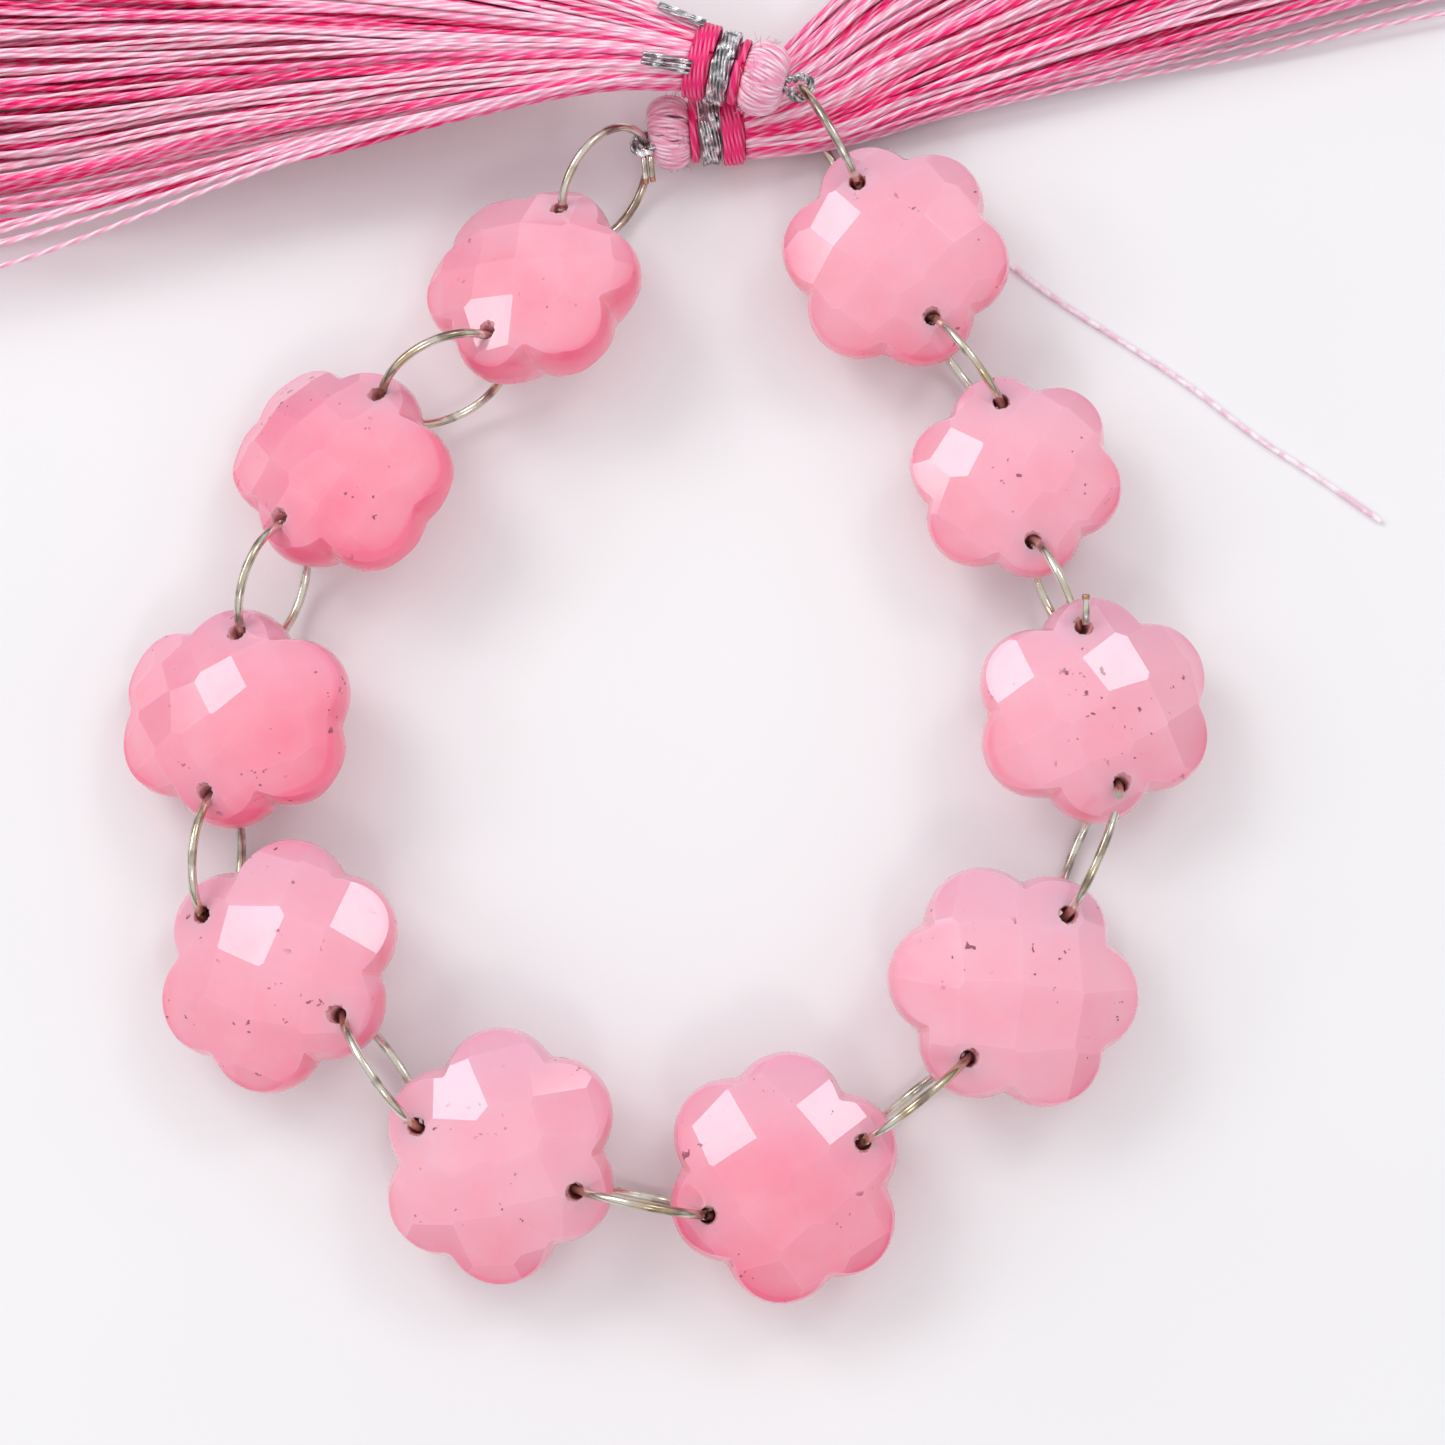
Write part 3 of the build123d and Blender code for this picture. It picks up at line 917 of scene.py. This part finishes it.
def make_eye(place, ring):
    """The silver cord's loop round the ring's wire, with both its ends going into the head."""
    name = place.name
    mount = next(m for m in frame["record"]["mounts"] if m["name"] == ring)
    middle = joint_place(f"tassel_{name}", "ring_01" if name == "a" else "ring_11")
    tangent = Vector(mount["axis"]).cross(middle - Vector(mount["pos_m"])).normalized()
    low, _, _ = place.span("head")
    goal = place.start + place.axis * (low + 0.0003)
    way = without(goal - middle, tangent)
    cross = tangent.cross(way)
    knots = []
    for share in np.linspace(0, 1, 34):
        turn = radians(38 + 284 * share)
        knots.append(middle + (way * cos(turn) + cross * sin(turn)) * EYE_RADIUS)
    path = [goal + cross * 0.0002, (goal + knots[0]) / 2 + cross * 0.0001]
    path += knots
    path += [(goal + knots[-1]) / 2 - cross * 0.0001, goal - cross * 0.0002]
    dense = smooth_rows([tuple(point) for point in path], 150)
    radii = [EYE_STRAND] * 2
    mesh = thread_mesh(f"cord_eye_{name}", twisted_pair(dense), radii, [0.3, 0.6], SILVER, COIL_SIDES)
    return new_object(f"cord_eye_{name}", mesh, f"tassel_{name}", "silver_thread", f"eye_{name}")


def make_tails(place, turns):
    """The silver thread's cut tails, lying flat on the skirt beside the wide wrap."""
    name = place.name
    _, high, radius = place.span("wide_wrap")
    paths = []
    for turn in turns:
        for strand in range(3):
            path = []
            for share in np.linspace(0, 1, 12):
                along = high - 0.0004 + TAIL_LENGTH * share
                around = radians(turn) + (strand - 1) * (0.13 - 0.03 * share)
                above = place.side * (cos(around) * radius * (1.04 + 0.06 * share))
                beside = place.up * (sin(around) * radius * (1.02 + 0.16 * share))
                path.append(tuple(place.start + place.axis * along + above + beside))
            paths.append(path)
    radii, tints = [TAIL_STRAND] * len(paths), [0.5] * len(paths)
    mesh = thread_mesh(f"silver_tails_{name}", paths, radii, tints, SILVER, COIL_SIDES)
    return new_object(f"silver_tails_{name}", mesh, f"tassel_{name}", "silver_thread")


def make_skirt(place, spread, strays, seed):
    name = place.name
    threads = skirt_threads(spread, seed)
    half = SKIRT_THREADS // 2
    groups = {
        "upper": [values[:half] for values in threads],
        "lower": [values[half:] for values in threads],
        "stray": skirt_strays(spread, strays, seed + 1),
    }
    for group, (paths, radii, tints) in groups.items():
        mesh = thread_mesh(f"skirt_{name}_{group}", paths, radii, tints, SILK)
        piece = new_object(f"skirt_{name}_{group}_threads", mesh, f"tassel_{name}", "pale_silk")
        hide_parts(f"skirt_{name}")


def make_tassel(name, spread, ring, strays, tails, seed):
    place = TasselPlace(name)
    make_skirt(place, spread, strays, seed)
    make_wrap(place, "narrow_wrap", HOT_SILK, "hot_pink_silk", SILK_COIL, seed + 2)
    make_wrap(place, "silver_wrap", SILVER, "silver_thread", SILVER_COIL, seed + 3)
    make_wrap(place, "wide_wrap", HOT_SILK, "hot_pink_silk", SILK_COIL, seed + 4)
    make_head(place, seed + 5)
    make_eye(place, ring)
    if tails:
        make_tails(place, tails)


# The cut ends of the wire.
def make_wire_end(name, body, foot, tip, radius):
    """A short straight end of wire: its last sixth is bare brass, its edge turned over by the cutter."""
    way = (tip - foot).normalized()
    side = without(Vector((1, 0.3, 0.2)), way)
    up = way.cross(side)
    length = (tip - foot).length
    shape = bmesh.new()
    rings = []
    profile = ((0, 1), (0.35, 1), (0.7, 1), (0.84, 1), (0.95, 1.02), (0.985, 0.94), (1.0, 0.72))
    for share, wide in profile:
        ring = []
        for i in range(WIRE_SIDES):
            out = side * cos(i * tau / WIRE_SIDES) + up * sin(i * tau / WIRE_SIDES)
            ring.append(shape.verts.new(foot + way * length * share + out * radius * wide))
        rings.append(ring)
    join_rings(shape, rings)
    *walls, end_cap, _ = shape.faces
    for number, face in enumerate(walls):
        face.smooth = True
        face.material_index = int(number >= 3 * WIRE_SIDES)
    end_cap.material_index = 1
    bmesh.ops.recalc_face_normals(shape, faces=shape.faces)
    return new_object(name, mesh_from(shape, name, WIRE, CUT_WIRE), body, "ring_wire")


def make_wire_ends():
    """The ends that show in the photo: one standing out of bead_03's hole, two beside the last ring."""
    foot = joint_place("bead_03", "ring_03") + BeadPlace(3).normal * 0.0027
    tip = foot + Vector((0.0, 0.0018, 0.0005))
    make_wire_end("wire_end_ring_03", "ring_03", foot, tip, HOLE_END_RADIUS)
    eye = joint_place("tassel_b", "ring_11")
    for number, (beside, reach) in enumerate(((0.0, 1.0), (0.00043, 0.92)), 1):
        foot = eye + Vector((-0.0001 + beside, -0.0005, 0.0001))
        tip = foot + Vector((0.0002, -0.0021 * reach, -0.0004))
        make_wire_end(f"wire_end_ring_11_{number}", "ring_11", foot, tip, RING_END_RADIUS)


# The loose thread.
def make_loose_thread():
    curve = bpy.data.curves.new("loose_silk_thread", "CURVE")
    curve.dimensions = "3D"
    spline = curve.splines.new("NURBS")
    spline.points.add(len(THREAD_ROUTE) - 1)
    for point, (x, y) in zip(spline.points, THREAD_ROUTE):
        point.co = (*from_loop(x, y, THREAD_HEIGHT), 1)
    spline.order_u = 3
    spline.use_endpoint_u = True
    spline.resolution_u = 24
    curve.bevel_depth = THREAD_DIAMETER / 2 * MM
    curve.bevel_resolution = 3
    curve.materials.append(LOOSE_SILK)
    piece = new_object("loose_silk_thread", curve, "tassel_b", "pale_silk", "loose_thread")
    start = from_loop(*THREAD_ROUTE[0], THREAD_HEIGHT)


# Stage, lights and camera.
def make_stage():
    bpy.ops.mesh.primitive_plane_add(size=4, location=(0, 0, 0))
    floor = bpy.context.object
    floor.name = "floor"
    floor.data.materials.append(floor_material())


def make_light(name, light):
    place, size, power = light
    lamp = bpy.data.lights.new(name, "AREA")
    lamp.shape = "SQUARE"
    lamp.size = size
    lamp.energy = power
    piece = scene_object(name, lamp)
    piece.location = place
    piece.rotation_euler = (LOOP_MIDDLE - Vector(place)).to_track_quat("-Z", "Y").to_euler()


def make_camera():
    camera = scene_object("camera", bpy.data.cameras.new("camera"))
    camera.data.lens = LENS
    camera.data.clip_start = 0.01
    camera.location = LOOP_MIDDLE + CAMERA_FROM_LOOP
    camera.rotation_euler = (-CAMERA_FROM_LOOP).to_track_quat("-Z", "Y").to_euler()
    bpy.context.scene.camera = camera


def make_sky():
    """A bright ceiling that darkens towards the horizon, as a room does round a photo table."""
    world = bpy.data.worlds.new("studio")
    world.use_nodes = True
    tree = world.node_tree
    way = tree.nodes.new("ShaderNodeSeparateXYZ")
    tree.links.new(tree.nodes.new("ShaderNodeTexCoord").outputs["Generated"], way.inputs[0])
    fade = tree.nodes.new("ShaderNodeValToRGB")
    low, high = fade.color_ramp.elements
    low.position = 0.04
    low.color = (0.10, 0.09, 0.09, 1)
    high.position = 0.42
    high.color = (1.0, 0.985, 1.0, 1)
    tree.links.new(way.outputs["Z"], fade.inputs["Fac"])
    background = tree.nodes["Background"]
    tree.links.new(fade.outputs["Color"], background.inputs["Color"])
    background.inputs["Strength"].default_value = SKY
    bpy.context.scene.world = world


make_camera()
make_stage()
make_sky()
make_light("key_light", KEY_LIGHT)
make_light("side_light", SIDE_LIGHT)
make_light("low_light", LOW_LIGHT)
make_light("front_light", FRONT_LIGHT)
bpy.context.scene.view_settings.view_transform = "Standard"

make_loose_thread()
for bead_number, looks in enumerate(BEAD_LOOKS, 1):
    make_bead(bead_number, *looks)
for node_name, node in frame["nodes"].items():
    if node_name.startswith("ring_"):
        node.data.materials.clear()
        node.data.materials.append(WIRE)
make_wire_ends()
make_tassel("a", SPREAD_A, "first_end_ring", STRAYS_A, TAIL_TURNS, 11)
make_tassel("b", SPREAD_B, "last_end_ring", STRAYS_B, (), 23)
